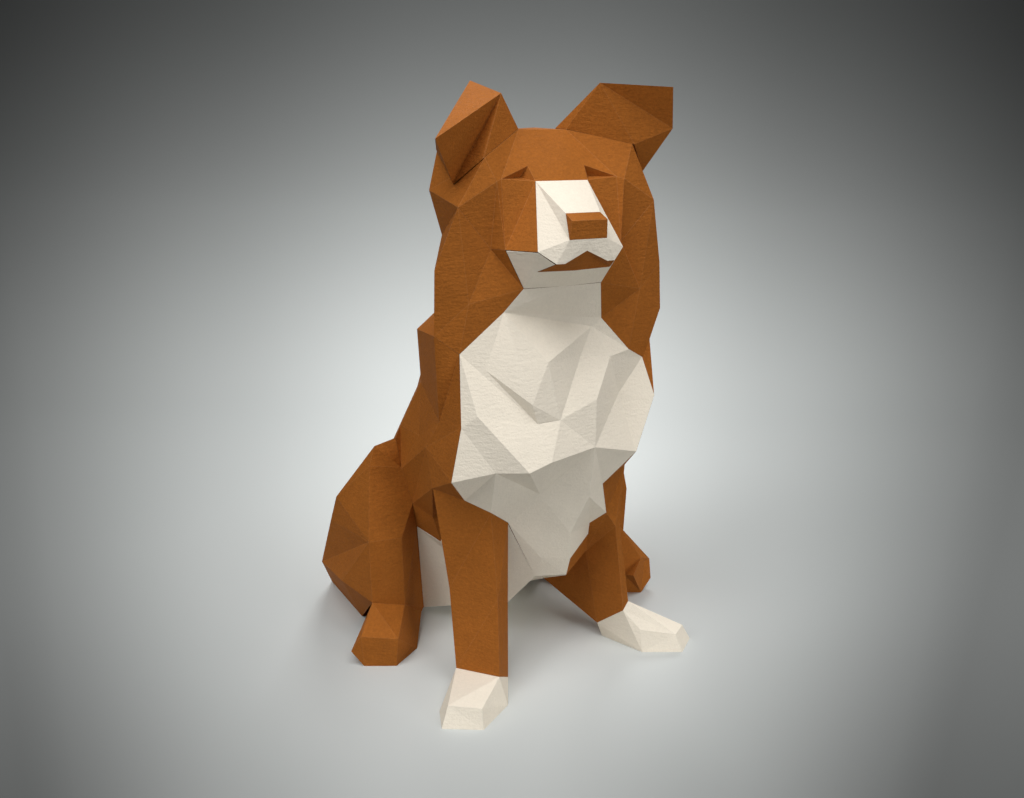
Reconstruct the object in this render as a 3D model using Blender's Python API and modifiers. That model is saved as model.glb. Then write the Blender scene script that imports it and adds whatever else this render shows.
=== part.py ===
"""A sitting dog of folded card: flat nets of brown and cream card, creased into facets and joined edge to edge."""

import bmesh
import bpy
import numpy as np
from math import cos, pi, radians, sin
from mathutils import Vector

# Sheet and joints, in millimetres
CARD = 0.3
SEAM_GAP = 0.3
MOST_INSET = 3.0
SHARPEST = 0.1
IN_PLANE = 0.5
MOST_SCALE = 4.0
SMALLEST_SHARE = 0.01
MIDDLE_MERGE = 0.0001
FLAT_CREASE = radians(1.5)
MM = 0.001

# Corners that both sides of the dog share, given for its left side.
# X runs to the dog's left, Y to its back and Z up. A minus before a name is the same corner on the right side.
CORNERS = {
    # Skull
    "crown_mid": (0, -54, 482),
    "crown": (22, -54, 482),
    "brow": (26, -78, 455),
    "eye_low": (31.5, -75, 446),
    "bridge_mid": (0, -87.5, 444),
    "bridge": (24, -87.5, 444),
    "eye_end": (53, -85.5, 446),
    "temple": (58.5, -89, 444.5),
    "temple_top": (70.5, -80, 472),
    "cheek": (90.5, -88, 426),
    "hinge": (61, -85, 392.5),
    "jaw_top": (54, -96, 393),
    "muzzle_back": (39, -121, 394),
    "poll_mid": (0, -40, 483),
    "poll": (19, -40, 482),
    "skull_side": (80.5, -25, 465),
    "head_side": (90, -30, 434),
    "occiput_mid": (0, 14, 462),
    "occiput": (38, 10, 458),
    "nape_mid": (0, 22, 402),
    "nape": (46, 14, 400),
    "neck_side": (79, -30, 397.5),
    # Muzzle, nose, mouth and jaw
    "nose_back_mid": (0, -121, 422.5),
    "nose_back": (15.5, -121, 422.5),
    "nose_front_mid": (0, -131.5, 418),
    "nose_front": (16, -131.5, 418),
    "nose_low_mid": (0, -130.5, 403.5),
    "nose_low": (17, -130.5, 403.5),
    "lip_peak": (0, -129.5, 394),
    "lip_inner": (19, -129.5, 385),
    "lip_corner": (26.5, -128.5, 385),
    "mouth_corner": (33.5, -112, 377),
    "mouth_mid": (0, -113, 376.5),
    "chin": (36.5, -95, 361),
    "chin_mid": (0, -96, 360.5),
    # Neck, back and rump
    "neck_low": (81.5, -35, 384.5),
    "neck_back": (52, 22, 366),
    "neck_back_mid": (0, 32, 368),
    "ruff_side": (76, -15, 329.5),
    "ruff_back": (44, 34, 330),
    "ruff_back_mid": (0, 46, 332),
    "shoulder": (90.5, 0, 312.5),
    "withers": (52, 58, 296),
    "withers_mid": (0, 72, 298),
    "waist": (85.5, 5, 262),
    "back": (58, 84, 232),
    "back_mid": (0, 102, 236),
    "flank_high": (98, 26.5, 215.5),
    "hip": (105.5, 20, 206.5),
    "hip_fold": (104.5, 10.5, 180.5),
    "hip_low": (96.5, 3.5, 145.5),
    "groin": (90.5, 9.5, 118),
    "flank_fold": (96.5, -62, 246.5),
    "elbow": (101, -43, 218.5),
    "flank_mid": (97, -16, 220),
    "flank_low": (78.5, -20, 112.5),
    "flank_step": (88, -25, 141.5),
    "hip_back": (88, 80, 178),
    "hip_mid": (0, 122, 184),
    "rump": (80, 128, 118),
    "rump_low": (84, 152, 0),
    "rump_mid": (0, 140, 128),
    "rump_low_mid": (0, 162, 0),
    "belly_mid": (1, -48.5, 41),
    "belly_tip": (19.5, -45.5, 47),
    "belly_back": (67, 54, 0),
    "belly_back_mid": (0, 58, 0),
    "belly_foot": (71.5, 43, 7.5),
    # Haunch
    "thigh_top": (126.5, 19, 202),
    "thigh_front": (134, 13, 185.5),
    "thigh_step": (110.5, -3.5, 115.5),
    "thigh_knee": (142, -2.5, 118),
    "shin_inner": (108, -2, 44.5),
    "shin_outer": (140.5, -2, 55.5),
    "thigh_side": (156, 48, 145.5),
    "thigh_edge": (159, 60, 116.5),
    "thigh_heel": (160, 97.5, 54),
    "thigh_low": (157.5, 37, 62),
    "heel_ground": (137, 148, 0),
    "shin_ground": (130, 65, 0),
    "shin_back": (81.5, 23.5, 15),
    # Ruff, on the right side of the dog and then on its left
    "ruff_out_R": (-107, -80, 378),
    "ruff_fold_R": (-81.5, -88, 351),
    "ruff_tip_R": (-88, -84.5, 310),
    "ruff_end_R": (-106, -75.5, 324.5),
    "throat_R": (-52.5, -91.5, 342.5),
    "ruff_out_L": (106, -81, 371.5),
    "ruff_fold_L": (83.5, -85.5, 350.5),
    "ruff_tip_L": (73.5, -88, 298),
    "ruff_end_L": (111.5, -80, 330),
    "ruff_low_L": (101.5, -81, 303),
    "ruff_under_L": (93.5, -82, 287),
    "throat_L": (46.5, -83, 327.5),
    # Chest, from the throat down
    "chest_a": (37, -83, 321),
    "chest_b": (-20.5, -110, 302),
    "chest_c": (-38.5, -118, 270.5),
    "chest_d": (-69, -94.5, 297),
    "chest_e": (-10.5, -116, 253),
    "chest_f": (-32.5, -117, 253),
    "chest_g": (21, -92.5, 298.5),
    "chest_h": (51.5, -92.5, 295),
    "chest_i": (29, -109, 264),
    "chest_j": (66, -87, 258),
    "chest_k": (24.5, -116.5, 223.5),
    "chest_l": (-27, -132, 224),
    "chest_m": (-47.5, -132, 218),
    "chest_n": (-69.5, -115, 215.5),
    "chest_o": (-81.5, -105, 263),
    "chest_p": (-19.5, -100.5, 182),
    "chest_q": (27, -107, 173),
    "chest_r": (-6.5, -84, 109.5),
    "chest_s": (15, -97, 135.5),
    "chest_wide_R": (-92.5, -97.5, 252.5),
    "chest_low_R": (-102.5, -100, 207.5),
    "chest_step_R": (-80.5, -78, 178.5),
    "leg_front_R": (-62, -91.5, 169),
    "leg_inner_R": (-42, -85, 153),
    "chest_end_R": (-6.5, -73.5, 85.5),
    "chest_wide_L": (99, -96.5, 255),
    "chest_low_L": (75.5, -107, 208.5),
    "chest_step_L": (47, -97.5, 178),
    "leg_front_L": (58, -89.5, 144),
    "leg_inner_L": (49, -76, 129.5),
    "leg_fold_L": (49.5, -74, 117.5),
    "chest_side_L": (20, -91, 106),
    "chest_end_L": (20.5, -84.5, 86),
    # Right foreleg and paw
    "leg_outer_R": (-103.5, -63, 188.5),
    "knee_outer_R": (-89.5, -65.5, 89.5),
    "knee_front_R": (-61, -104.5, 91.5),
    "knee_inner_R": (-41.5, -86.5, 74.5),
    "leg_back_R": (-72, -34, 165),
    "knee_back_R": (-70, -56, 80),
    "cuff_outer_R": (-90.5, -82, 17.5),
    "cuff_front_R": (-66.5, -120.5, 25),
    "cuff_inner_R": (-46, -98, 4.5),
    "cuff_back_R": (-74, -72, 8),
    "toe_outer_R": (-119.5, -129.5, 19),
    "toe_inner_R": (-95, -145, 18),
    "sole_outer_R": (-126.5, -132.5, 0),
    "sole_inner_R": (-95.5, -149.5, 0),
    "sole_side_R": (-62, -129, 0),
    "sole_heel_R": (-46, -97, 0),
    "sole_back_R": (-76, -70, 0),
    "sole_edge_R": (-119, -110, 0),
    # Left foreleg and paw
    "leg_outer_L": (83, -79, 184),
    "knee_outer_L": (74.5, -88, 130.5),
    "knee_front_L": (68, -91, 129),
    "leg_crease_L": (55, -62.5, 92.5),
    "leg_hollow_L": (40.5, -8, 39.5),
    "leg_back_L": (86, -34, 150),
    "knee_back_L": (92, -50, 80),
    "cuff_outer_L": (85.5, -94.5, 47),
    "cuff_front_L": (79, -96, 39),
    "cuff_inner_L": (67, -70.5, 14.5),
    "cuff_back_L": (88, -66, 16),
    "toe_outer_L": (140, -112, 15.5),
    "toe_front_L": (122, -124.5, 17),
    "toe_inner_L": (90, -110.5, 23),
    "sole_outer_L": (126.5, -131.5, 0),
    "sole_tip_L": (148, -115.5, 0),
    "sole_inner_L": (91.5, -114.5, 0),
    "sole_back_L": (72, -73, 0),
    "sole_heel_L": (92, -62, 0),
    "sole_edge_L": (142, -98, 0),
    # Right hind paw
    "foot_top_out_R": (-141, -3, 54),
    "foot_top_in_R": (-109, -3, 43.5),
    "foot_fold_in_R": (-127.5, -34, 30),
    "foot_fold_out_R": (-158.5, -20, 33),
    "foot_sole_out_R": (-156, -18.5, 0),
    "foot_sole_in_R": (-129, -31.5, 0),
    "foot_side_R": (-166, -12, 15),
    "foot_heel_in_R": (-101, -13, 0),
    "foot_back_in_R": (-92, 18, 0),
    "foot_back_out_R": (-152, 18, 0),
    # Left hind paw
    "foot_top_out_L": (135, -4, 76),
    "foot_top_in_L": (109, -2.6, 46),
    "foot_edge_L": (172.5, -10, 32),
    "foot_out_L": (164.5, -12, 31.5),
    "foot_fold_out_L": (155, -18, 41),
    "foot_fold_in_L": (135, -34, 32),
    "foot_inner_L": (133.5, -20, 27),
    "foot_side_L": (171.5, -16, 11.5),
    "foot_sole_out_L": (156, -21, 0),
    "foot_sole_in_L": (142.5, -14.5, 0),
    "foot_back_out_L": (158, -2, 0),
    "foot_back_in_L": (100, -6, 0),
    # Right ear, with its tip folded outwards
    "temple_top_R": (-66, -83, 462),
    "ear_apex_R": (-42.5, -62, 514),
    "ear_tip_R": (-88, -73, 445),
    "ear_fold_R": (-114, -100.5, 482),
    "ear_back_R": (-61, -35, 520),
    # Left ear, with its tip folded forwards
    "ear_apex_L": (42, -71.5, 518.5),
    "ear_tip_L": (88.5, -71.5, 448),
    "ear_fold_L": (100.5, -94, 484),
    "ear_front_L": (88, -107.5, 516),
    # Tail
    "tail_root_top": (0, 152.9, 56),
    "tail_root_side": (17, 156, 26),
    "tail_root_low": (11, 161.2, 0),
    "tail_bend_top": (0, 190, 40),
    "tail_bend_side": (19, 192, 16),
    "tail_bend_low": (12, 193, 0),
    "tail_tip": (0, 226, 5),
}

BROWN = {"colour": (0.41, 0.155, 0.045), "roughness": 0.75}
CREAM = {"colour": (0.86, 0.79, 0.69), "roughness": 0.75}


def corner(name):
    """The place of a named corner, in millimetres."""
    x, y, z = CORNERS[name.lstrip("-")]
    return Vector((-x if name.startswith("-") else x, y, z))


def other_side(name):
    """The name of the same corner on the other side of the dog."""
    if corner(name).x == 0:
        return name
    return name[1:] if name.startswith("-") else "-" + name


def other_strips(strips, swaps):
    """The same strips on the other side of the dog, with some corners swapped for others."""
    turned = []
    for strip in strips:
        rows = []
        for row in strip[:2]:
            names = [other_side(name) for name in row.split()]
            rows.append(" ".join(swaps.get(name, name) for name in names))
        turned.append((*rows, *strip[2:]))
    return turned


# The left half of the head. The right one is its other side, with the edge under the ear lower down.
HEAD_LEFT = [
    ("crown_mid crown", "bridge_mid bridge brow eye_end", "bbab"),
    ("eye_low", "bridge brow eye_end bridge"),
    ("crown temple_top", "eye_end temple"),
    ("temple_top skull_side", "temple cheek head_side", "bba"),
    ("neck_side", "cheek head_side"),
    ("bridge eye_end temple cheek", "muzzle_back jaw_top hinge", "baaba"),
    ("crown_mid crown temple_top", "poll_mid poll skull_side"),
    ("poll_mid poll skull_side", "occiput_mid occiput head_side"),
    ("occiput_mid occiput head_side", "nape_mid nape neck_side"),
]
HEAD_RIGHT = other_strips(HEAD_LEFT, {"-temple_top": "temple_top_R"})

HAUNCH_LEFT = [
    ("hip hip_fold hip_low", "thigh_top thigh_front thigh_knee thigh_step"),
    ("thigh_top", "thigh_side thigh_front"),
    (
        "thigh_knee",
        "thigh_front thigh_side thigh_edge thigh_heel thigh_low shin_outer shin_inner thigh_step",
    ),
    ("thigh_low", "thigh_heel heel_ground shin_ground shin_outer"),
    ("hip_low groin belly_foot shin_back", "thigh_step shin_inner"),
    ("thigh_top thigh_side thigh_edge thigh_heel heel_ground", "hip hip_back rump rump_low"),
    ("shin_ground", "heel_ground rump_low belly_back shin_back"),
    ("shin_back", "belly_foot belly_back"),
]

# Each net is a list of strips. A strip runs between two rows of corners, or round one corner.
# A point inside the dog tells which face of the card is the outer one.
NETS = {
    "head": {"card": BROWN, "inside": (0, -50, 430), "strips": HEAD_LEFT + HEAD_RIGHT},
    "ear_right": {
        "card": BROWN,
        "inside": (-68, -55, 485),
        "strips": [
            ("ear_apex_R", "-crown temple_top_R ear_tip_R ear_fold_R ear_back_R -poll -crown"),
            ("-skull_side", "temple_top_R ear_tip_R ear_fold_R ear_back_R -poll"),
        ],
    },
    "ear_left": {
        "card": BROWN,
        "inside": (75, -65, 485),
        "strips": [
            ("temple_top", "ear_tip_L ear_fold_L ear_apex_L crown"),
            ("ear_apex_L", "ear_fold_L ear_front_L"),
            ("ear_apex_L", "crown poll"),
            ("skull_side", "temple_top ear_tip_L ear_fold_L ear_front_L ear_apex_L poll"),
        ],
    },
    "muzzle": {
        "card": CREAM,
        "inside": (0, -105, 405),
        "mirrored": True,
        "strips": [
            ("bridge_mid bridge", "nose_back_mid nose_back"),
            ("bridge", "nose_back nose_low muzzle_back"),
            ("muzzle_back", "nose_low lip_corner"),
            ("nose_low_mid nose_low", "lip_peak lip_inner lip_corner", "bab"),
        ],
    },
    "nose": {
        "card": BROWN,
        "inside": (0, -121, 410),
        "mirrored": True,
        "strips": [
            ("nose_back_mid nose_back", "nose_front_mid nose_front"),
            ("nose_front_mid nose_front", "nose_low_mid nose_low"),
            ("nose_back", "nose_front nose_low"),
        ],
    },
    "mouth": {
        "card": BROWN,
        "inside": (0, -110, 390),
        "mirrored": True,
        "strips": [("lip_peak lip_inner lip_corner", "mouth_mid mouth_corner", "baa")],
    },
    "jaw": {
        "card": CREAM,
        "inside": (0, -90, 385),
        "draw_back": 0.6,
        "mirrored": True,
        "strips": [
            ("chin", "mouth_corner muzzle_back jaw_top"),
            ("muzzle_back", "lip_corner mouth_corner"),
            ("mouth_mid mouth_corner", "chin_mid chin"),
        ],
    },
    "ruff": {
        "card": BROWN,
        "inside": (0, -35, 350),
        "strips": [
            ("-hinge", "-jaw_top -chin"),
            ("-hinge ruff_fold_R", "-chin throat_R"),
            ("ruff_tip_R", "throat_R ruff_fold_R"),
            ("-cheek", "-hinge ruff_fold_R ruff_out_R -neck_side"),
            ("ruff_out_R ruff_end_R", "ruff_fold_R ruff_tip_R"),
            ("ruff_out_R", "-neck_side -neck_low"),
            ("ruff_out_R ruff_end_R", "-neck_low -ruff_side"),
            (
                "ruff_fold_L",
                "throat_L chin jaw_top hinge cheek ruff_out_L ruff_end_L ruff_low_L ruff_tip_L throat_L",
            ),
            ("ruff_low_L", "ruff_tip_L ruff_under_L"),
            ("ruff_out_L", "cheek neck_side neck_low"),
            ("ruff_out_L ruff_end_L", "neck_low ruff_side"),
            (
                "-neck_side -nape nape_mid nape neck_side",
                "-neck_low -neck_back neck_back_mid neck_back neck_low",
            ),
            (
                "-neck_low -neck_back neck_back_mid neck_back neck_low",
                "-ruff_side -ruff_back ruff_back_mid ruff_back ruff_side",
            ),
        ],
    },
    "chest": {
        "card": CREAM,
        "inside": (0, 0, 220),
        "strips": [
            ("-chin chin_mid chin", "throat_R throat_L"),
            ("throat_R", "ruff_tip_R chest_d chest_c chest_b chest_a throat_L"),
            ("chest_a", "throat_L ruff_tip_L chest_h chest_g"),
            ("chest_a chest_b chest_c", "chest_g chest_e", "aba"),
            ("chest_g chest_h", "chest_e chest_i"),
            ("chest_h chest_i", "ruff_tip_L ruff_under_L chest_j chest_k", "bbab"),
            ("chest_j", "ruff_under_L chest_wide_L chest_low_L chest_k"),
            ("chest_e chest_l", "chest_i chest_k"),
            ("chest_f", "chest_e chest_l chest_m chest_o ruff_tip_R chest_d chest_c chest_e"),
            ("chest_wide_R", "ruff_tip_R chest_o chest_n chest_low_R"),
            ("chest_o", "chest_m chest_n"),
            ("chest_n chest_m chest_l", "chest_low_R chest_step_R leg_front_R leg_inner_R chest_p", "bbbbaa"),
            ("chest_l chest_k", "chest_p chest_q"),
            ("chest_k", "chest_low_L chest_step_L chest_q"),
            ("leg_inner_R chest_s", "chest_p chest_q"),
            ("chest_q", "chest_step_L leg_front_L leg_inner_L chest_s"),
            ("chest_s", "leg_inner_R chest_r chest_side_L leg_fold_L leg_inner_L"),
            ("chest_r", "leg_inner_R chest_end_R chest_end_L chest_side_L"),
        ],
    },
    "belly": {
        "card": CREAM,
        "inside": (0, 0, 150),
        "draw_back": 0.6,
        "strips": [
            ("chest_end_R chest_end_L", "-belly_tip belly_mid belly_tip"),
            (
                "-belly_tip",
                "chest_end_R leg_inner_R leg_back_R -flank_low -groin -belly_foot"
                " -belly_back belly_back_mid belly_mid",
            ),
            (
                "leg_hollow_L",
                "chest_end_L belly_tip belly_mid belly_back_mid belly_back belly_foot groin flank_low leg_back_L",
            ),
        ],
    },
    "body": {
        "card": BROWN,
        "inside": (0, 30, 200),
        "strips": [
            ("ruff_end_R ruff_tip_R", "-ruff_side -shoulder -waist -flank_fold chest_wide_R", "bbbab"),
            ("chest_wide_R", "-flank_fold -elbow"),
            ("-waist -flank_mid", "-flank_fold -elbow"),
            ("-waist -flank_mid", "-flank_high -hip_fold"),
            ("-hip_fold -hip_low -flank_step", "-flank_mid -elbow leg_outer_R leg_back_R", "babab"),
            ("-elbow", "chest_wide_R chest_low_R leg_outer_R"),
            ("leg_outer_R", "chest_low_R chest_step_R"),
            ("-hip_low -flank_step", "-groin -flank_low"),
            ("-flank_low", "-flank_step leg_back_R"),
            ("-flank_high", "-hip_back -hip -hip_fold"),
            ("ruff_end_L ruff_low_L ruff_under_L", "ruff_side shoulder waist flank_fold chest_wide_L"),
            ("chest_wide_L", "flank_fold elbow"),
            ("waist flank_mid", "flank_fold elbow"),
            ("waist flank_mid", "flank_high hip_fold"),
            ("hip_fold hip_low flank_step", "flank_mid elbow leg_outer_L leg_back_L", "babab"),
            ("elbow", "chest_wide_L chest_low_L leg_outer_L"),
            ("leg_outer_L", "chest_low_L chest_step_L"),
            ("hip_low flank_step", "groin flank_low"),
            ("flank_low", "flank_step leg_back_L"),
            ("flank_high", "hip_back hip hip_fold"),
            (
                "-ruff_side -ruff_back ruff_back_mid ruff_back ruff_side",
                "-shoulder -withers withers_mid withers shoulder",
            ),
            ("-shoulder -withers withers_mid withers shoulder", "-waist -back back_mid back waist"),
            ("-waist -back back_mid back waist", "-flank_high -hip_back hip_mid hip_back flank_high"),
            ("-hip_back hip_mid hip_back", "-rump rump_mid rump"),
            ("-rump rump_mid rump", "-rump_low rump_low_mid rump_low"),
            ("-rump_low rump_low_mid rump_low", "-belly_back belly_back_mid belly_back"),
        ],
    },
    "foreleg_right": {
        "card": BROWN,
        "inside": (-72, -78, 100),
        "strips": [
            (
                "leg_outer_R chest_step_R leg_front_R leg_inner_R leg_back_R leg_outer_R",
                "knee_outer_R knee_front_R knee_inner_R knee_back_R knee_outer_R",
                "aababbaab",
            ),
            (
                "knee_outer_R knee_front_R knee_inner_R knee_back_R knee_outer_R",
                "cuff_outer_R cuff_front_R cuff_inner_R cuff_back_R cuff_outer_R",
                "ababbaab",
            ),
        ],
    },
    "front_paw_right": {
        "card": CREAM,
        "inside": (-85, -115, 8),
        "strips": [
            ("cuff_outer_R cuff_front_R", "toe_outer_R toe_inner_R"),
            ("toe_outer_R toe_inner_R", "sole_outer_R sole_inner_R"),
            ("cuff_front_R cuff_inner_R", "toe_inner_R sole_side_R"),
            ("toe_inner_R", "sole_inner_R sole_side_R"),
            ("toe_outer_R", "cuff_outer_R sole_edge_R sole_outer_R"),
            ("sole_edge_R sole_back_R sole_heel_R sole_side_R", "cuff_outer_R cuff_back_R cuff_inner_R"),
            ("sole_outer_R sole_edge_R sole_back_R", "sole_inner_R sole_side_R sole_heel_R"),
        ],
    },
    "foreleg_left": {
        "card": BROWN,
        "inside": (76, -66, 80),
        "strips": [
            ("leg_outer_L knee_outer_L cuff_outer_L", "chest_step_L leg_front_L knee_front_L cuff_front_L", "bbaba"),
            (
                "leg_crease_L",
                "cuff_front_L knee_front_L leg_front_L leg_inner_L leg_fold_L chest_side_L chest_end_L"
                " leg_hollow_L cuff_inner_L cuff_front_L",
            ),
            ("leg_outer_L knee_outer_L cuff_outer_L", "leg_back_L knee_back_L cuff_back_L"),
            ("leg_back_L knee_back_L cuff_back_L", "leg_hollow_L cuff_inner_L"),
        ],
    },
    "front_paw_left": {
        "card": CREAM,
        "inside": (105, -100, 8),
        "strips": [
            ("cuff_outer_L cuff_front_L", "toe_outer_L toe_front_L toe_inner_L", "bab"),
            ("cuff_front_L cuff_inner_L", "toe_inner_L sole_inner_L sole_back_L", "bab"),
            ("toe_inner_L toe_front_L", "sole_inner_L sole_outer_L"),
            ("toe_front_L toe_outer_L", "sole_outer_L sole_tip_L"),
            ("toe_outer_L cuff_outer_L cuff_back_L", "sole_tip_L sole_edge_L sole_heel_L"),
            ("cuff_back_L cuff_inner_L", "sole_heel_L sole_back_L"),
            ("sole_outer_L sole_tip_L sole_edge_L sole_heel_L", "sole_inner_L sole_back_L"),
        ],
    },
    "haunch_left": {"card": BROWN, "inside": (118, 60, 90), "strips": HAUNCH_LEFT},
    "haunch_right": {"card": BROWN, "inside": (-118, 60, 90), "strips": other_strips(HAUNCH_LEFT, {})},
    "hind_paw_right": {
        "card": BROWN,
        "inside": (-128, -5, 15),
        "strips": [
            ("foot_top_out_R foot_top_in_R", "foot_fold_out_R foot_fold_in_R"),
            ("foot_fold_out_R foot_fold_in_R", "foot_sole_out_R foot_sole_in_R"),
            ("foot_side_R", "foot_back_out_R foot_top_out_R foot_fold_out_R foot_sole_out_R foot_back_out_R"),
            ("foot_heel_in_R", "foot_sole_in_R foot_fold_in_R foot_top_in_R -shin_back foot_back_in_R"),
            ("foot_sole_in_R", "foot_heel_in_R foot_back_in_R foot_back_out_R foot_sole_out_R"),
        ],
    },
    "hind_paw_left": {
        "card": BROWN,
        "inside": (140, -12, 15),
        "strips": [
            ("foot_fold_out_L", "foot_edge_L foot_top_out_L foot_inner_L foot_fold_in_L foot_out_L foot_edge_L"),
            ("foot_fold_in_L foot_out_L", "foot_sole_out_L foot_side_L"),
            ("foot_inner_L foot_fold_in_L", "foot_sole_in_L foot_sole_out_L"),
            ("foot_side_L", "foot_out_L foot_edge_L foot_back_out_L foot_sole_out_L"),
            ("foot_edge_L", "foot_top_out_L foot_back_out_L"),
            ("foot_sole_in_L", "foot_sole_out_L foot_back_out_L foot_back_in_L"),
            ("foot_inner_L", "foot_sole_in_L foot_back_in_L foot_top_in_L foot_top_out_L"),
        ],
    },
    "tail": {
        "card": BROWN,
        "inside": (0, 180, 15),
        "mirrored": True,
        "strips": [
            ("tail_root_top tail_root_side tail_root_low", "tail_bend_top tail_bend_side tail_bend_low"),
            ("tail_tip", "tail_bend_top tail_bend_side tail_bend_low"),
        ],
    },
}


def facets_of(first, second, steps=""):
    """The facets between two rows of corners, one corner further along a row at each step.

    The steps name the row, a or b. Without them each step takes the shorter way across.
    """
    first, second = first.split(), second.split()
    facets = []
    i = j = 0
    while i + 1 < len(first) or j + 1 < len(second):
        if steps:
            row = steps[i + j]
        elif i + 1 == len(first):
            row = "b"
        elif j + 1 == len(second):
            row = "a"
        else:
            along_first = (corner(first[i + 1]) - corner(second[j])).length
            along_second = (corner(first[i]) - corner(second[j + 1])).length
            row = "a" if along_first < along_second else "b"
        if row == "a":
            facets.append((first[i], second[j], first[i + 1]))
            i += 1
        else:
            facets.append((first[i], second[j], second[j + 1]))
            j += 1
    return [facet for facet in facets if len(set(facet)) == 3]


def folded(net):
    """A net as a sheet of facets with the outer side out, and the name of each of its corners."""
    sheet = bmesh.new()
    verts = {}
    for strip in net["strips"]:
        for facet in facets_of(*strip):
            for name in facet:
                if name not in verts:
                    verts[name] = sheet.verts.new(corner(name))
            sheet.faces.new([verts[name] for name in facet])
    bmesh.ops.recalc_face_normals(sheet, faces=sheet.faces)
    inside = Vector(net["inside"])
    outward = sum(face.calc_area() * face.normal.dot(face.calc_center_median() - inside) for face in sheet.faces)
    if outward < 0:
        bmesh.ops.reverse_faces(sheet, faces=sheet.faces[:])
    sheet.normal_update()
    return sheet, {vert: name for name, vert in verts.items()}


def into_facet(edge, face):
    """The direction in a facet that runs square to one of its edges, away from it."""
    start, end = (vert.co for vert in edge.verts)
    along = (end - start).normalized()
    third = next(vert.co for vert in face.verts if vert not in edge.verts) - start
    return (third - along * third.dot(along)).normalized()


def seam_sides(sheets):
    """For each pair of corners the facets that end there, of every net and on both sides of the dog."""
    flip = Vector((-1, 1, 1))
    sides = {}
    for net_name, (sheet, names) in sheets.items():
        for edge in sheet.edges:
            ends = [names[vert] for vert in edge.verts]
            for face in edge.link_faces:
                inward = into_facet(edge, face)
                sides.setdefault(frozenset(ends), []).append((net_name, inward, face.normal))
                if NETS[net_name].get("mirrored"):
                    across = frozenset(other_side(name) for name in ends)
                    sides.setdefault(across, []).append((net_name, inward * flip, face.normal * flip))
    return sides


def seam_inset(inward, normal, others):
    """How far a sheet stops short of a seam, so that its inner corner stays clear of the sheets beyond."""
    inset = SEAM_GAP / 2
    for other_inward, _ in others:
        angle = inward.angle(other_inward)
        if other_inward.dot(normal) > 0:
            angle = 2 * pi - angle
        half = angle / 2
        inset = max(inset, (SEAM_GAP / 2 + CARD * max(0, cos(half))) / max(sin(half), SHARPEST))
    return min(inset, MOST_INSET)


def trimmed(net_name, sheet, names, sides):
    """Draws the free edges of a sheet back from its seams, each corner within the planes of its facets."""
    moves = {}
    for vert in sheet.verts:
        rows = []
        insets = []
        kept_in = []
        for edge in vert.link_edges:
            if len(edge.link_faces) != 1 or all(corner(names[end]).x == 0 for end in edge.verts):
                continue
            face = edge.link_faces[0]
            key = frozenset(names[end] for end in edge.verts)
            others = [side[1:] for side in sides[key] if side[0] != net_name]
            rows.append(into_facet(edge, face))
            insets.append(seam_inset(rows[-1], face.normal, others) + NETS[net_name].get("draw_back", 0))
            kept_in.append(face.normal * IN_PLANE)
        if not rows:
            continue
        if NETS[net_name].get("mirrored") and corner(names[vert]).x == 0:
            rows = [Vector((0, *row.yz)) for row in rows]
            kept_in = [Vector((1, 0, 0))]
        wanted = np.array(insets + [0.0] * len(kept_in))
        move = Vector(np.linalg.lstsq(np.array(rows + kept_in), wanted, rcond=SMALLEST_SHARE)[0])
        scale = max([1] + [inset / move.dot(row) for row, inset in zip(rows, insets) if move.dot(row) > 0])
        moves[vert] = move * min(scale, MOST_SCALE)
    for vert, move in moves.items():
        vert.co += move


def card_material(name, card):
    material = bpy.data.materials.new(name)
    material.use_nodes = True
    shader = material.node_tree.nodes["Principled BSDF"]
    shader.inputs["Base Color"].default_value = (*card["colour"], 1)
    shader.inputs["Roughness"].default_value = card["roughness"]
    shader.inputs["Metallic"].default_value = 0
    return material


def card_object(name, net, sheet, place, collection):
    """A sheet given the thickness of the card, mirrored first where both sides are alike."""
    bmesh.ops.dissolve_limit(sheet, angle_limit=FLAT_CREASE, verts=sheet.verts[:], edges=sheet.edges[:])
    bmesh.ops.scale(sheet, vec=(MM, MM, MM), verts=sheet.verts)
    mesh = bpy.data.meshes.new(name)
    sheet.to_mesh(mesh)
    sheet.free()
    mesh.materials.append(card_material(name, net["card"]))
    piece = bpy.data.objects.new(name, mesh)
    piece.location = place
    collection.objects.link(piece)
    if net.get("mirrored"):
        mirror = piece.modifiers.new("Other half", "MIRROR")
        mirror.use_clip = True
        mirror.merge_threshold = MIDDLE_MERGE
    card = piece.modifiers.new("Card", "SOLIDIFY")
    card.thickness = CARD * MM
    card.offset = -1
    card.use_even_offset = True
    card.use_quality_normals = True


def footprint_middle(sheets):
    """The middle, seen from above, of the box round all the sheets."""
    points = []
    for name, (sheet, _) in sheets.items():
        for vert in sheet.verts:
            points.append(vert.co.xy)
            if NETS[name].get("mirrored"):
                points.append(Vector((-vert.co.x, vert.co.y)))
    low = [min(point[axis] for point in points) for axis in (0, 1)]
    high = [max(point[axis] for point in points) for axis in (0, 1)]
    return Vector(((low[0] + high[0]) / 2, (low[1] + high[1]) / 2, 0))


def build():
    for old in list(bpy.data.objects):
        bpy.data.objects.remove(old, do_unlink=True)
    collection = bpy.data.collections.new("origami_dog")
    bpy.context.scene.collection.children.link(collection)
    sheets = {name: folded(net) for name, net in NETS.items()}
    sides = seam_sides(sheets)
    for name, (sheet, names) in sheets.items():
        trimmed(name, sheet, names, sides)
    middle = footprint_middle(sheets)
    for name, net in NETS.items():
        card_object(name, net, sheets[name][0], -middle * MM, collection)


build()
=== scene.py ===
# %% [markdown]
# # A sitting dog folded from card
# The real object is papercraft: flat nets of coloured card are scored, folded and
# glued edge to edge into a faceted dog. The solids of the twenty nets come in from
# the imported model, so this lesson only dresses them: each net gets softened folds,
# bare cut edges and a card surface, and then the dog is lit and a camera is set up.

from math import cos, radians, sin

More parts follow.
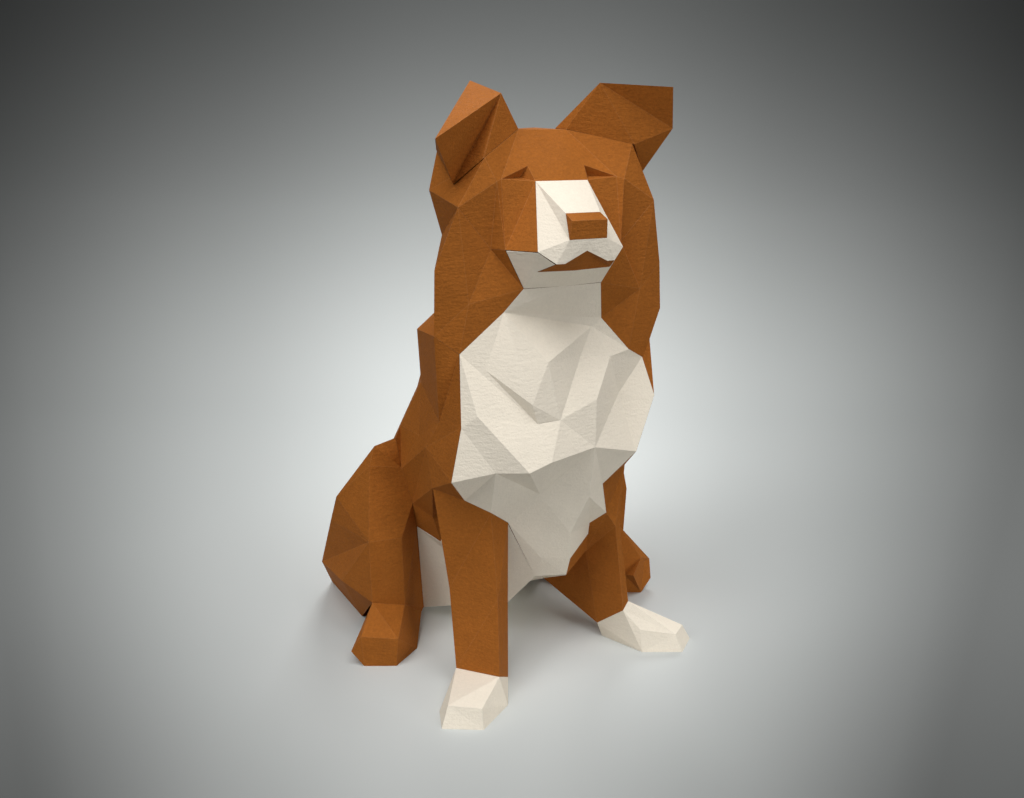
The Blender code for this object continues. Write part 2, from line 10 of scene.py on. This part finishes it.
import bmesh
import bpy
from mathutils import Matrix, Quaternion, Vector
from mathutils.bvhtree import BVHTree


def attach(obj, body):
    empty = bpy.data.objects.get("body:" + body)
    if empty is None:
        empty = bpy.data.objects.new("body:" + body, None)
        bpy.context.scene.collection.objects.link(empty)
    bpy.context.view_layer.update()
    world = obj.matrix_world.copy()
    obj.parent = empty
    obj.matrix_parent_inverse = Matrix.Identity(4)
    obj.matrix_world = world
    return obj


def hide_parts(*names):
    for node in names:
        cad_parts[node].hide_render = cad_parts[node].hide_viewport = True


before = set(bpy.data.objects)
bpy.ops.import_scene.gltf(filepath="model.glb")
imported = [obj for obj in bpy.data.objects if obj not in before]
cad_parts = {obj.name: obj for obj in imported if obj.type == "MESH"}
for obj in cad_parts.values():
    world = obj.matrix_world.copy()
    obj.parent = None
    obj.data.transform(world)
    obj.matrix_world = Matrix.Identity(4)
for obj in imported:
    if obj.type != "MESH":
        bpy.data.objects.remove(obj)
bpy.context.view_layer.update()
scene = bpy.context.scene
scene.view_settings.view_transform = "Standard"

# %% [markdown]
# ## Camera
# The camera's place was worked out from corners that the photograph shows. It stands
# in front of the dog and to its right, a little below the top of the head, and looks
# slightly down. A small roll levels the picture the way the photograph was held.

# %% Camera
CAMERA_PLACE = Vector((-0.37795, -0.75795, 0.500))
CAMERA_LOOK = Vector((0.4435, 0.8411, -0.3097))
CAMERA_ROLL = radians(0.986)
CAMERA_LENS = 31.69

camera = bpy.data.objects.new("camera", bpy.data.cameras.new("camera"))
camera.data.sensor_width = 36
camera.data.lens = CAMERA_LENS
camera.rotation_mode = "QUATERNION"
camera.location = CAMERA_PLACE
turn = CAMERA_LOOK.to_track_quat("-Z", "Y")
camera.rotation_quaternion = turn @ Quaternion((0, 0, 1), CAMERA_ROLL)
scene.collection.objects.link(camera)
scene.camera = camera
print("camera at", tuple(round(v, 3) for v in camera.location))

# %% [markdown]
# ## Studio
# Paper is photographed on a seamless sweep: one sheet that is the floor and then
# curves up behind. A strip of faces along a profile is all it takes.

# %% Sweep
SWEEP_YAW = radians(-27.8)
SWEEP_HALF = 4.0
SWEEP_FRONT = -3.5
SWEEP_BACK = 1.5
SWEEP_BEND = 0.9
SWEEP_TOP = 3.4
BEND_STEPS = 24


def sweep_profile():
    """Distance back and height of the sheet, from the front edge of the floor to its top."""
    points = [(SWEEP_FRONT, 0.0), (SWEEP_BACK - SWEEP_BEND, 0.0)]
    for step in range(1, BEND_STEPS + 1):
        angle = radians(90) * step / BEND_STEPS
        back = SWEEP_BACK - SWEEP_BEND + SWEEP_BEND * sin(angle)
        points.append((back, SWEEP_BEND * (1 - cos(angle))))
    points.append((SWEEP_BACK, SWEEP_TOP))
    return points


def sweep_object():
    """The sheet as one strip of faces, with smooth shading over its bend."""
    bm = bmesh.new()
    rows = []
    for back, height in sweep_profile():
        rows.append([bm.verts.new((side, back, height)) for side in (-SWEEP_HALF, SWEEP_HALF)])
    for low, high in zip(rows, rows[1:]):
        bm.faces.new((low[0], low[1], high[1], high[0])).smooth = True
    mesh = bpy.data.meshes.new("sweep")
    bm.to_mesh(mesh)
    bm.free()
    obj = bpy.data.objects.new("sweep", mesh)
    obj.rotation_euler.z = SWEEP_YAW
    scene.collection.objects.link(obj)
    return obj


sweep = sweep_object()
print("sweep:", len(sweep.data.polygons), "faces")

# %% [markdown]
# Nodes are easier to read when a small helper makes each one and sets its inputs. A
# colour ramp turns a run of values into a smooth change of grey, and its own helper
# takes the stops as pairs of a place and a grey.

# %% Node helper
def add_node(tree, kind, **inputs):
    """Makes a node. A keyword that names an input sets it, any other sets the node's own property."""
    made = tree.nodes.new(kind)
    for name, value in inputs.items():
        plain = name.replace("_", " ")
        if plain in made.inputs:
            made.inputs[plain].default_value = value
        else:
            setattr(made, name, value)
    return made


def grey_ramp(tree, stops):
    """A colour ramp through (place, grey) stops."""
    ramp = tree.nodes.new("ShaderNodeValToRGB")
    ramp.color_ramp.interpolation = "B_SPLINE"
    marks = ramp.color_ramp.elements
    while len(marks) < len(stops):
        marks.new(0.5)
    for mark, (place, grey) in zip(marks, stops):
        mark.position = place
        mark.color = (grey, grey, grey, 1)
    return ramp


print("helpers:", add_node.__name__, grey_ramp.__name__)

# %% [markdown]
# The sweep's grey holds a painted pool of light: palest behind the dog, it darkens
# with painted shade from there, as light does that falls off. One ramp runs from the
# floor's front up the bend, and the other fans out to both sides. Both read the
# sheet's object coordinates. Light that bounces off the sheet sees it a little darker
# than the camera does, so that the undersides of the dog stay deep.

# %% Sweep paint with a painted pool of light
# Painted light: these ramps paint a pool of light on the sheet, with painted shade towards its front
# edge, its top and its sides.
PAINTED_LIGHT_FRONT = -0.35
PAINTED_LIGHT_TOP = 2.3
FAN_FROM = -0.847
FAN_WIDTH = 0.62
PAINTED_LIGHT_ALONG = (
    (0.0, 0.40), (0.094, 0.80), (0.17, 0.86), (0.321, 0.88),
    (0.5, 0.72), (0.7, 0.38), (0.85, 0.22), (1.0, 0.10),
)
PAINTED_LIGHT_ACROSS = (
    (0.0, 1.0), (0.19, 1.0), (0.4, 0.70), (0.57, 0.58), (0.73, 0.42), (0.89, 0.27), (1.0, 0.20),
)
PAINT_TINT = (0.96, 1.0, 0.985, 1)
BOUNCE = 0.85


def sweep_painted_light():
    """A painted pool of light: grey palest behind the dog, with painted shade fanning out darker to the
    sides and the top.
    """
    paint = bpy.data.materials.new("sweep_grey_painted_light")
    paint.use_nodes = True
    tree = paint.node_tree
    link = tree.links.new
    surface = tree.nodes["Principled BSDF"]
    surface.inputs["Roughness"].default_value = 0.9
    surface.inputs["Specular IOR Level"].default_value = 0.05
    place = tree.nodes.new("ShaderNodeTexCoord")
    apart = tree.nodes.new("ShaderNodeSeparateXYZ")
    link(place.outputs["Object"], apart.inputs[0])

    along = add_node(tree, "ShaderNodeMath", operation="ADD")
    link(apart.outputs["Y"], along.inputs[0])
    link(apart.outputs["Z"], along.inputs[1])
    run = add_node(tree, "ShaderNodeMapRange", From_Min=PAINTED_LIGHT_FRONT, From_Max=PAINTED_LIGHT_TOP)
    link(along.outputs[0], run.inputs["Value"])
    up = grey_ramp(tree, PAINTED_LIGHT_ALONG)
    link(run.outputs[0], up.inputs[0])

    depth = add_node(tree, "ShaderNodeMath", operation="SUBTRACT")
    depth.inputs[1].default_value = FAN_FROM
    link(apart.outputs["Y"], depth.inputs[0])
    slope = add_node(tree, "ShaderNodeMath", operation="DIVIDE")
    link(apart.outputs["X"], slope.inputs[0])
    link(depth.outputs[0], slope.inputs[1])
    side = add_node(tree, "ShaderNodeMath", operation="ABSOLUTE")
    link(slope.outputs[0], side.inputs[0])
    fan = add_node(tree, "ShaderNodeMapRange", From_Min=0.0, From_Max=FAN_WIDTH)
    link(side.outputs[0], fan.inputs["Value"])
    across = grey_ramp(tree, PAINTED_LIGHT_ACROSS)
    link(fan.outputs[0], across.inputs[0])

    # The two ramps multiplied give the painted pool of light and its painted shade.
    pool = add_node(tree, "ShaderNodeMix", data_type="RGBA", blend_type="MULTIPLY")
    pool.inputs["Factor"].default_value = 1.0
    link(up.outputs[0], pool.inputs["A"])
    link(across.outputs[0], pool.inputs["B"])
    seen = add_node(tree, "ShaderNodeMix", data_type="RGBA", blend_type="MULTIPLY")
    seen.inputs["Factor"].default_value = 1.0
    seen.inputs["B"].default_value = PAINT_TINT
    link(pool.outputs["Result"], seen.inputs["A"])

    ray = tree.nodes.new("ShaderNodeLightPath")
    dimmed = add_node(tree, "ShaderNodeVectorMath", operation="SCALE")
    dimmed.inputs["Scale"].default_value = BOUNCE
    link(seen.outputs["Result"], dimmed.inputs[0])
    chosen = add_node(tree, "ShaderNodeMix", data_type="RGBA")
    link(ray.outputs["Is Camera Ray"], chosen.inputs["Factor"])
    link(dimmed.outputs[0], chosen.inputs["A"])
    link(seen.outputs["Result"], chosen.inputs["B"])
    link(chosen.outputs["Result"], surface.inputs["Base Color"])
    return paint


sweep.data.materials.append(sweep_painted_light())
print("sweep painted:", sweep.data.materials[0].name)

# %% [markdown]
# ## Light
# Two large soft lamps overhead model the facets: what turns up is bright, and what
# turns away falls off quickly. A side lamp and a small low lamp in front open the
# chest and the legs, one at the back warms the far edges, and a faint world keeps
# the undersides from going black. Together they light a surface that faces them to
# about the colour that its material holds.


# %% Lamps
def soft_lamp(name, place, aim, size, power):
    """A square area lamp at a place, turned to a point."""
    lamp = bpy.data.lights.new(name, "AREA")
    lamp.size = size
    lamp.energy = power
    obj = bpy.data.objects.new(name, lamp)
    obj.location = place
    obj.rotation_mode = "QUATERNION"
    obj.rotation_quaternion = (Vector(aim) - Vector(place)).to_track_quat("-Z", "Y")
    scene.collection.objects.link(obj)
    return obj


LAMP_AIM = (0, 0, 0.25)
LAMPS = {
    "key right": {"place": (0.54, -1.15, 2.97), "size": 1.5, "power": 33},
    "key left": {"place": (-1.23, -0.77, 2.87), "size": 1.5, "power": 36},
    "side": {"place": (-2.22, -0.59, 1.86), "size": 1.3, "power": 18},
    "low front": {"place": (0.64, -2.41, 0.47), "size": 1.0, "power": 15},
    "back": {"place": (0.70, 1.10, 1.80), "size": 0.8, "power": 18},
}
for name, values in LAMPS.items():
    soft_lamp(name, aim=LAMP_AIM, **values)

WORLD_TINT = (1.0, 0.98, 0.95, 1)
WORLD_STRENGTH = 0.14
scene.world = bpy.data.worlds.new("studio")
scene.world.use_nodes = True
background = scene.world.node_tree.nodes["Background"]
background.inputs["Color"].default_value = WORLD_TINT
background.inputs["Strength"].default_value = WORLD_STRENGTH

# %% [markdown]
# ## Card surface
# Coloured card isn't smooth: felt marks give it a fine tooth, a facet that has been
# handled keeps a slow bow, and its fibres clump into cloudy patches and flecks. Each
# of the three effects is a node group, so that both colours of card use the same
# ones. A scored fold shows a little of the paler core, which the material reads from
# the attribute fold_wear that each dressed net is given below.

# %% Card tooth
def new_group(name, inputs, outputs):
    """An empty shader group with named sockets: {name: (socket type, default)}."""
    group = bpy.data.node_groups.new(name, "ShaderNodeTree")
    for socket, (kind, value) in inputs.items():
        made = group.interface.new_socket(socket, in_out="INPUT", socket_type=kind)
        if value is not None:
            made.default_value = value
    for socket, kind in outputs.items():
        group.interface.new_socket(socket, in_out="OUTPUT", socket_type=kind)
    return group, group.nodes.new("NodeGroupInput"), group.nodes.new("NodeGroupOutput")


def tooth_group():
    """Height of the felt marks and of the fibres, which lie level round the dog."""
    group, given, result = new_group(
        "card_tooth",
        {"Place": ("NodeSocketVector", None), "Size": ("NodeSocketFloat", 600.0)},
        {"Height": "NodeSocketFloat"},
    )
    link = group.links.new
    grain = add_node(group, "ShaderNodeTexNoise", Detail=3.0, Roughness=0.6)
    link(given.outputs["Place"], grain.inputs["Vector"])
    link(given.outputs["Size"], grain.inputs["Scale"])
    stretch = add_node(group, "ShaderNodeMapping", Scale=(0.3, 0.3, 1.0))
    link(given.outputs["Place"], stretch.inputs["Vector"])
    fibre = add_node(group, "ShaderNodeTexNoise", Scale=420.0, Detail=2.0, Roughness=0.5)
    link(stretch.outputs[0], fibre.inputs["Vector"])
    both = add_node(group, "ShaderNodeMath", operation="ADD")
    link(grain.outputs["Fac"], both.inputs[0])
    link(fibre.outputs["Fac"], both.inputs[1])
    link(both.outputs[0], result.inputs["Height"])
    return group


def bow_group():
    """Height of the slow bow that a facet keeps after it has been handled."""
    group, given, result = new_group(
        "card_bow",
        {"Place": ("NodeSocketVector", None), "Size": ("NodeSocketFloat", 16.0)},
        {"Height": "NodeSocketFloat"},
    )
    slow = add_node(group, "ShaderNodeTexNoise", Detail=1.5, Roughness=0.4)
    group.links.new(given.outputs["Place"], slow.inputs["Vector"])
    group.links.new(given.outputs["Size"], slow.inputs["Scale"])
    group.links.new(slow.outputs["Fac"], result.inputs["Height"])
    return group


def cloud_group():
    """Cloudy patches of fibre and finer flecks, each as a factor from 0 to 1."""
    group, given, result = new_group(
        "fibre_cloud",
        {"Place": ("NodeSocketVector", None), "Size": ("NodeSocketFloat", 40.0)},
        {"Cloud": "NodeSocketFloat", "Fleck": "NodeSocketFloat"},
    )
    link = group.links.new
    cloud = add_node(group, "ShaderNodeTexNoise", Detail=5.0, Roughness=0.62)
    link(given.outputs["Place"], cloud.inputs["Vector"])
    link(given.outputs["Size"], cloud.inputs["Scale"])
    link(cloud.outputs["Fac"], result.inputs["Cloud"])
    fleck = add_node(group, "ShaderNodeTexNoise", Scale=420.0, Detail=4.0, Roughness=0.7)
    link(given.outputs["Place"], fleck.inputs["Vector"])
    link(fleck.outputs["Fac"], result.inputs["Fleck"])
    return group


CARD_TOOTH = tooth_group()
CARD_BOW = bow_group()
FIBRE_CLOUD = cloud_group()
print("groups:", CARD_TOOTH.name, CARD_BOW.name, FIBRE_CLOUD.name)

# %% [markdown]
# Both cards are the same paper in another dye, so one function makes both materials.
# Clouds and flecks scale the dye a little up or down, and a noise seldom leaves the
# middle of its range, so only that middle is stretched. Two bump nodes stack: the
# slow bow turns a whole facet slightly, and the tooth lies on top of it. Values that
# are the same all over the card go straight to the shader's own sockets.

# %% Card material
BOW_HEIGHT = 0.002
TOOTH_HEIGHT = 0.0006
NOISE_LOW = 0.3
NOISE_HIGH = 0.7
ROUGHNESS_SPREAD = 0.2


def card_finish(name, colour, core, cloud_depth, fleck_depth, tooth, gloss, smoothest):
    """Card of one colour: clouds and flecks vary it, and a fold and a cut edge show its core."""
    made = bpy.data.materials.new(name)
    made.use_nodes = True
    tree = made.node_tree
    link = tree.links.new
    surface = tree.nodes["Principled BSDF"]
    surface.inputs["Specular IOR Level"].default_value = gloss
    place = tree.nodes.new("ShaderNodeTexCoord")
    cloud = add_node(tree, "ShaderNodeGroup", node_tree=FIBRE_CLOUD)
    link(place.outputs["Object"], cloud.inputs["Place"])

    amount = add_node(tree, "ShaderNodeMath", operation="MULTIPLY")
    for slot, (mask, depth) in enumerate((("Cloud", cloud_depth), ("Fleck", fleck_depth))):
        shade = add_node(
            tree, "ShaderNodeMapRange",
            From_Min=NOISE_LOW, From_Max=NOISE_HIGH, To_Min=1 - depth, To_Max=1 + depth,
        )
        link(cloud.outputs[mask], shade.inputs["Value"])
        link(shade.outputs[0], amount.inputs[slot])
    tinted = add_node(tree, "ShaderNodeVectorMath", operation="SCALE")
    tinted.inputs[0].default_value = colour
    link(amount.outputs[0], tinted.inputs["Scale"])

    worn = add_node(tree, "ShaderNodeAttribute", attribute_name="fold_wear")
    mixed = add_node(tree, "ShaderNodeMix", data_type="RGBA")
    mixed.inputs["B"].default_value = (*core, 1)
    link(worn.outputs["Fac"], mixed.inputs["Factor"])
    link(tinted.outputs[0], mixed.inputs["A"])
    link(mixed.outputs["Result"], surface.inputs["Base Color"])

    rough = add_node(tree, "ShaderNodeMapRange", To_Min=smoothest, To_Max=smoothest + ROUGHNESS_SPREAD)
    link(cloud.outputs["Fleck"], rough.inputs["Value"])
    link(rough.outputs[0], surface.inputs["Roughness"])

    relief = add_node(tree, "ShaderNodeGroup", node_tree=CARD_TOOTH)
    link(place.outputs["Object"], relief.inputs["Place"])
    bow = add_node(tree, "ShaderNodeGroup", node_tree=CARD_BOW)
    link(place.outputs["Object"], bow.inputs["Place"])
    bowed = add_node(tree, "ShaderNodeBump", Strength=1.0, Distance=BOW_HEIGHT)
    link(bow.outputs["Height"], bowed.inputs["Height"])
    bump = add_node(tree, "ShaderNodeBump", Strength=tooth, Distance=TOOTH_HEIGHT)
    link(bowed.outputs["Normal"], bump.inputs["Normal"])
    link(relief.outputs["Height"], bump.inputs["Height"])
    link(bump.outputs["Normal"], surface.inputs["Normal"])
    return made


BROWN = card_finish(
    "brown_felt_card", colour=(0.36, 0.116, 0.017), core=(0.55, 0.27, 0.12),
    cloud_depth=0.06, fleck_depth=0.14, tooth=0.8, gloss=0.12, smoothest=0.66,
)
CREAM = card_finish(
    "cream_felt_card", colour=(0.88, 0.80, 0.67), core=(0.93, 0.86, 0.76),
    cloud_depth=0.02, fleck_depth=0.03, tooth=0.65, gloss=0.12, smoothest=0.66,
)
print("cards:", BROWN.name, CREAM.name)

# %% [markdown]
# ## Nets
# A net is cut from flat card, scored, folded and glued to its neighbours. The frame's
# copy of it is loose triangles, so its corners are merged and its flat facets are
# joined again. The narrow faces of its outline are the cut edge of the card: they
# are known by a width that is about the card's thickness.

# %% Merge the nets
MERGE = 0.00001
FLAT = radians(0.6)
CARD_THICKNESS = 0.0003
CUT_EDGE_WIDEST = 1.6 * CARD_THICKNESS
CREAM_NETS = {"muzzle", "jaw", "chest", "belly", "front_paw_right", "front_paw_left"}


def merged_net(node):
    """The net's own mesh with its corners merged and its flat facets whole."""
    bm = bmesh.new()
    bm.from_mesh(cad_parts[node].data)
    bmesh.ops.remove_doubles(bm, verts=bm.verts, dist=MERGE)
    bmesh.ops.dissolve_limit(bm, angle_limit=FLAT, verts=bm.verts, edges=bm.edges)
    bm.normal_update()
    return bm


def is_cut_edge(face):
    """True for a face about as wide as the card is thick."""
    longest = max(edge.calc_length() for edge in face.edges)
    return face.calc_area() < CUT_EDGE_WIDEST * longest


nets = {node: merged_net(node) for node in sorted(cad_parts)}
print("facets:", sum(len(bm.faces) for bm in nets.values()))

# %% [markdown]
# Held against the photograph, a few corners of the right ear and of the belly's front
# edge sit several millimetres off. A score line that is moved on a paper template
# moves the corner where its folds meet, so that is what is done here: each corner is
# named by its place and gets a new one, and both skins of the card go with it.
# Behind the bib's edge a strip of brown card was hidden by folds that run along the
# wrong diagonal. Where two facets share a fold, turning it to their other two corners
# makes a low place into a ridge, and the strip shows. Three of the listed folds turn
# on both skins. The fourth turns on the inner skin only, which is why seven are
# printed, and there the two skins cross a little. Moved corners can do that too: the
# right ear and the belly have facets that cross each other after this step.

# %% Set corners
CORNER_REACH = 0.0045
CORNERS_SET = {
    "ear_right": (
        ((-0.04575, -0.10025, 0.5140), (-0.0452, -0.1002, 0.5090)),
        ((-0.06425, -0.07325, 0.5200), (-0.0602, -0.0752, 0.5182)),
        ((-0.11725, -0.13875, 0.4820), (-0.1172, -0.1387, 0.4765)),
        ((-0.09125, -0.11125, 0.4450), (-0.0868, -0.1015, 0.4408)),
    ),
    "belly": (
        ((-0.00225, -0.08675, 0.0410), (-0.0030, -0.0680, 0.0760)),
        ((0.01625, -0.08375, 0.0470), (0.0190, -0.0660, 0.0830)),
    ),
}


def set_corners(node):
    """Moves every vertex that belongs to a listed corner of the net by that corner's step."""
    moved = 0
    for old, new in CORNERS_SET[node]:
        step = Vector(new) - Vector(old)
        for vert in nets[node].verts:
            if (vert.co - Vector(old)).length < CORNER_REACH:
                vert.co += step
                moved += 1
    nets[node].normal_update()
    return moved


UNDER_RUFF = (0.0900, -0.1197, 0.2870)
TURNED_FOLDS = {
    "body": (
        (UNDER_RUFF, (0.0714, -0.0515, 0.3292)),
        (UNDER_RUFF, (0.0871, -0.0383, 0.3124)),
        (UNDER_RUFF, (0.0821, -0.0333, 0.2620)),
        (UNDER_RUFF, (0.0931, -0.1002, 0.2465)),
    ),
}


def turn_folds(node):
    """Swaps each listed fold of the net for the other diagonal of its two facets, in order."""
    bm = nets[node]
    turned = 0
    for ends in TURNED_FOLDS[node]:
        found = []
        for edge in bm.edges:
            if edge.calc_length() < CORNER_REACH or len(edge.link_faces) != 2:
                continue
            gaps = [min((vert.co - Vector(end)).length for vert in edge.verts) for end in ends]
            if max(gaps) < CORNER_REACH:
                found.append(edge)
        turned += len(bmesh.ops.rotate_edges(bm, edges=found)["edges"])
    bm.normal_update()
    return turned


for node in TURNED_FOLDS:
    print("folds turned:", node, turn_folds(node))
for node in CORNERS_SET:
    print("corners set:", node, set_corners(node))

# %% [markdown]
# The solids keep a small gap between two nets. On the real dog a glued seam is only a
# hairline, so each corner of a cut edge is let out half way to the nearest point of
# the net beside it, less the hairline. A BVH tree finds that point quickly. All steps
# are worked out first and taken afterwards, so that no net chases one that has moved.

# %% Close the seams
SEAM_REACH = 0.0035
SEAM_HAIRLINE = 0.00005
surfaces = {node: BVHTree.FromBMesh(bm) for node, bm in nets.items()}


def let_out(node):
    """Moves the corners of a net's cut edge half way to the nearest net beside it."""
    moves = {}
    for face in nets[node].faces:
        if not is_cut_edge(face):
            continue
        for vert in face.verts:
            near = None
            for other, surface in surfaces.items():
                if other == node:
                    continue
                found = surface.find_nearest(vert.co, SEAM_REACH)
                if found[0] is not None and (near is None or found[3] < near[1]):
                    near = (found[0], found[3])
            if near and near[1] > 2 * SEAM_HAIRLINE:
                moves[vert] = (near[0] - vert.co) * (0.5 - SEAM_HAIRLINE / near[1])
    return moves


seam_moves = {node: let_out(node) for node in nets}
for moves in seam_moves.values():
    for vert, move in moves.items():
        vert.co += move
print("corners let out:", sum(len(moves) for moves in seam_moves.values()))

# %% [markdown]
# Card never folds to a knife edge. Its outside bends round an arc about as wide as
# the card is thick, and the scoring leaves a hair of the paler core on the ridge. A
# bevel of a tenth of a millimetre gives that arc, and its faces carry the wear as an
# attribute that the material reads.

# %% Dress a net
FOLD_ROUNDING = 0.00012
FOLDED = radians(4.0)
FOLD_WEAR = 0.35
EDGE_WEAR = 0.5
FLOOR_CLEARANCE = 2 * CARD_THICKNESS


def cut_centre_line(bm):
    """Middle lines of the four-cornered cut-edge faces clear of the floor, as pairs of points."""
    lines = []
    for face in bm.faces:
        if len(face.verts) != 4 or not is_cut_edge(face):
            continue
        short = sorted(face.edges, key=lambda edge: edge.calc_length())[:2]
        ends = [(edge.verts[0].co + edge.verts[1].co) / 2 for edge in short]
        if min(end.z for end in ends) > FLOOR_CLEARANCE:
            lines.append((ends[0].copy(), ends[1].copy()))
    return lines


def dress_net(node):
    """The net as a piece, with rounded folds and with its folds and cut edges marked."""
    bm = nets[node]
    wear = bm.faces.layers.float.new("fold_wear")
    for face in bm.faces:
        if is_cut_edge(face):
            face[wear] = EDGE_WEAR
    folds = [e for e in bm.edges if len(e.link_faces) == 2 and e.calc_face_angle(0) > FOLDED]
    rounded = bmesh.ops.bevel(
        bm, geom=folds, offset=FOLD_ROUNDING, offset_type="OFFSET", segments=1,
        affect="EDGES", clamp_overlap=True, profile=0.5,
    )
    for face in rounded["faces"]:
        face[wear] = max(face[wear], FOLD_WEAR)
    bmesh.ops.triangulate(bm, faces=bm.faces)
    mesh = bpy.data.meshes.new(node + "_card")
    bm.to_mesh(mesh)
    bm.free()
    piece = bpy.data.objects.new(node + "_card", mesh)
    scene.collection.objects.link(piece)
    return piece


cut_lines = {node: cut_centre_line(bm) for node, bm in nets.items()}
triangles = 0
for node in nets:
    piece = dress_net(node)
    cream = node in CREAM_NETS
    piece.data.materials.append(CREAM if cream else BROWN)
    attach(piece, "root")
    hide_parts(node)
    triangles += len(piece.data.polygons)
print("dressed nets:", len(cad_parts), "triangles:", triangles)

# %% [markdown]
# ## Cut edges
# A knife presses the fibres at a cut edge into a thin raised lip. One Geometry Nodes
# tree makes such lips: it turns a mesh of edges into curves and sweeps a small circle
# along each. The lines come from cut-edge faces with four corners only. Nearly all
# cut-edge faces of these nets are triangles, so ten short lines are found, and the
# rest of every outline stays without a lip. To dress them all, the two triangles of
# each strip would have to be joined first.

# %% Lip tree
LIP_RADIUS = 0.00018
LIP_SIDES = 6


def lip_tree():
    """Sweeps a thin round lip along every edge of a wire mesh."""
    tree = bpy.data.node_groups.new("cut_edge_lip", "GeometryNodeTree")
    sockets = (
        ("Outline", "INPUT", "NodeSocketGeometry"),
        ("Lip Radius", "INPUT", "NodeSocketFloat"),
        ("Lip Sides", "INPUT", "NodeSocketInt"),
        ("Card", "INPUT", "NodeSocketMaterial"),
        ("Lips", "OUTPUT", "NodeSocketGeometry"),
    )
    for name, side, kind in sockets:
        tree.interface.new_socket(name, in_out=side, socket_type=kind)
    link = tree.links.new
    given = tree.nodes.new("NodeGroupInput")
    result = tree.nodes.new("NodeGroupOutput")
    path = tree.nodes.new("GeometryNodeMeshToCurve")
    circle = tree.nodes.new("GeometryNodeCurvePrimitiveCircle")
    tube = tree.nodes.new("GeometryNodeCurveToMesh")
    tube.inputs["Fill Caps"].default_value = True
    whole = tree.nodes.new("GeometryNodeRealizeInstances")
    paint = tree.nodes.new("GeometryNodeSetMaterial")
    link(given.outputs["Outline"], path.inputs["Mesh"])
    link(given.outputs["Lip Sides"], circle.inputs["Resolution"])
    link(given.outputs["Lip Radius"], circle.inputs["Radius"])
    link(path.outputs["Curve"], tube.inputs["Curve"])
    link(circle.outputs["Curve"], tube.inputs["Profile Curve"])
    link(tube.outputs["Mesh"], whole.inputs["Geometry"])
    link(whole.outputs["Geometry"], paint.inputs["Geometry"])
    link(given.outputs["Card"], paint.inputs["Material"])
    link(paint.outputs["Geometry"], result.inputs["Lips"])
    return tree


LIP_TREE = lip_tree()
print("tree:", LIP_TREE.name, "nodes:", len(LIP_TREE.nodes))

# %% [markdown]
# The lines found on all nets of one card go into one mesh of edges, and the modifier
# with the tree above turns it into lips. Its inputs are set by each socket's identifier.
# What the modifier makes is then kept as a plain mesh, and the modifier goes.


# %% Lips
def wire_object(name, lines):
    """A mesh of edges only, with the lines' shared ends merged."""
    bm = bmesh.new()
    for start, end in lines:
        bm.edges.new((bm.verts.new(start), bm.verts.new(end)))
    bmesh.ops.remove_doubles(bm, verts=bm.verts, dist=LIP_RADIUS)
    mesh = bpy.data.meshes.new(name)
    bm.to_mesh(mesh)
    bm.free()
    obj = bpy.data.objects.new(name, mesh)
    scene.collection.objects.link(obj)
    return obj


def lips(name, lines, card):
    """The wire's lips as a plain mesh."""
    wire = wire_object(name, lines)
    modifier = wire.modifiers.new("lips", "NODES")
    modifier.node_group = LIP_TREE
    values = {"Lip Radius": LIP_RADIUS, "Lip Sides": LIP_SIDES, "Card": card}
    for item in LIP_TREE.interface.items_tree:
        if item.name in values:
            modifier[item.identifier] = values[item.name]
    found = wire.evaluated_get(bpy.context.evaluated_depsgraph_get())
    made = bpy.data.meshes.new_from_object(found)
    wire.modifiers.remove(modifier)
    wire.data = made
    return wire


for name, card, is_cream in (("brown_cut_lips", BROWN, False), ("cream_cut_lips", CREAM, True)):
    lines = [line for node in cut_lines if (node in CREAM_NETS) == is_cream for line in cut_lines[node]]
    piece = lips(name, lines, card)
    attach(piece, "root")
    print(name, "lines:", len(lines), "faces:", len(piece.data.polygons))
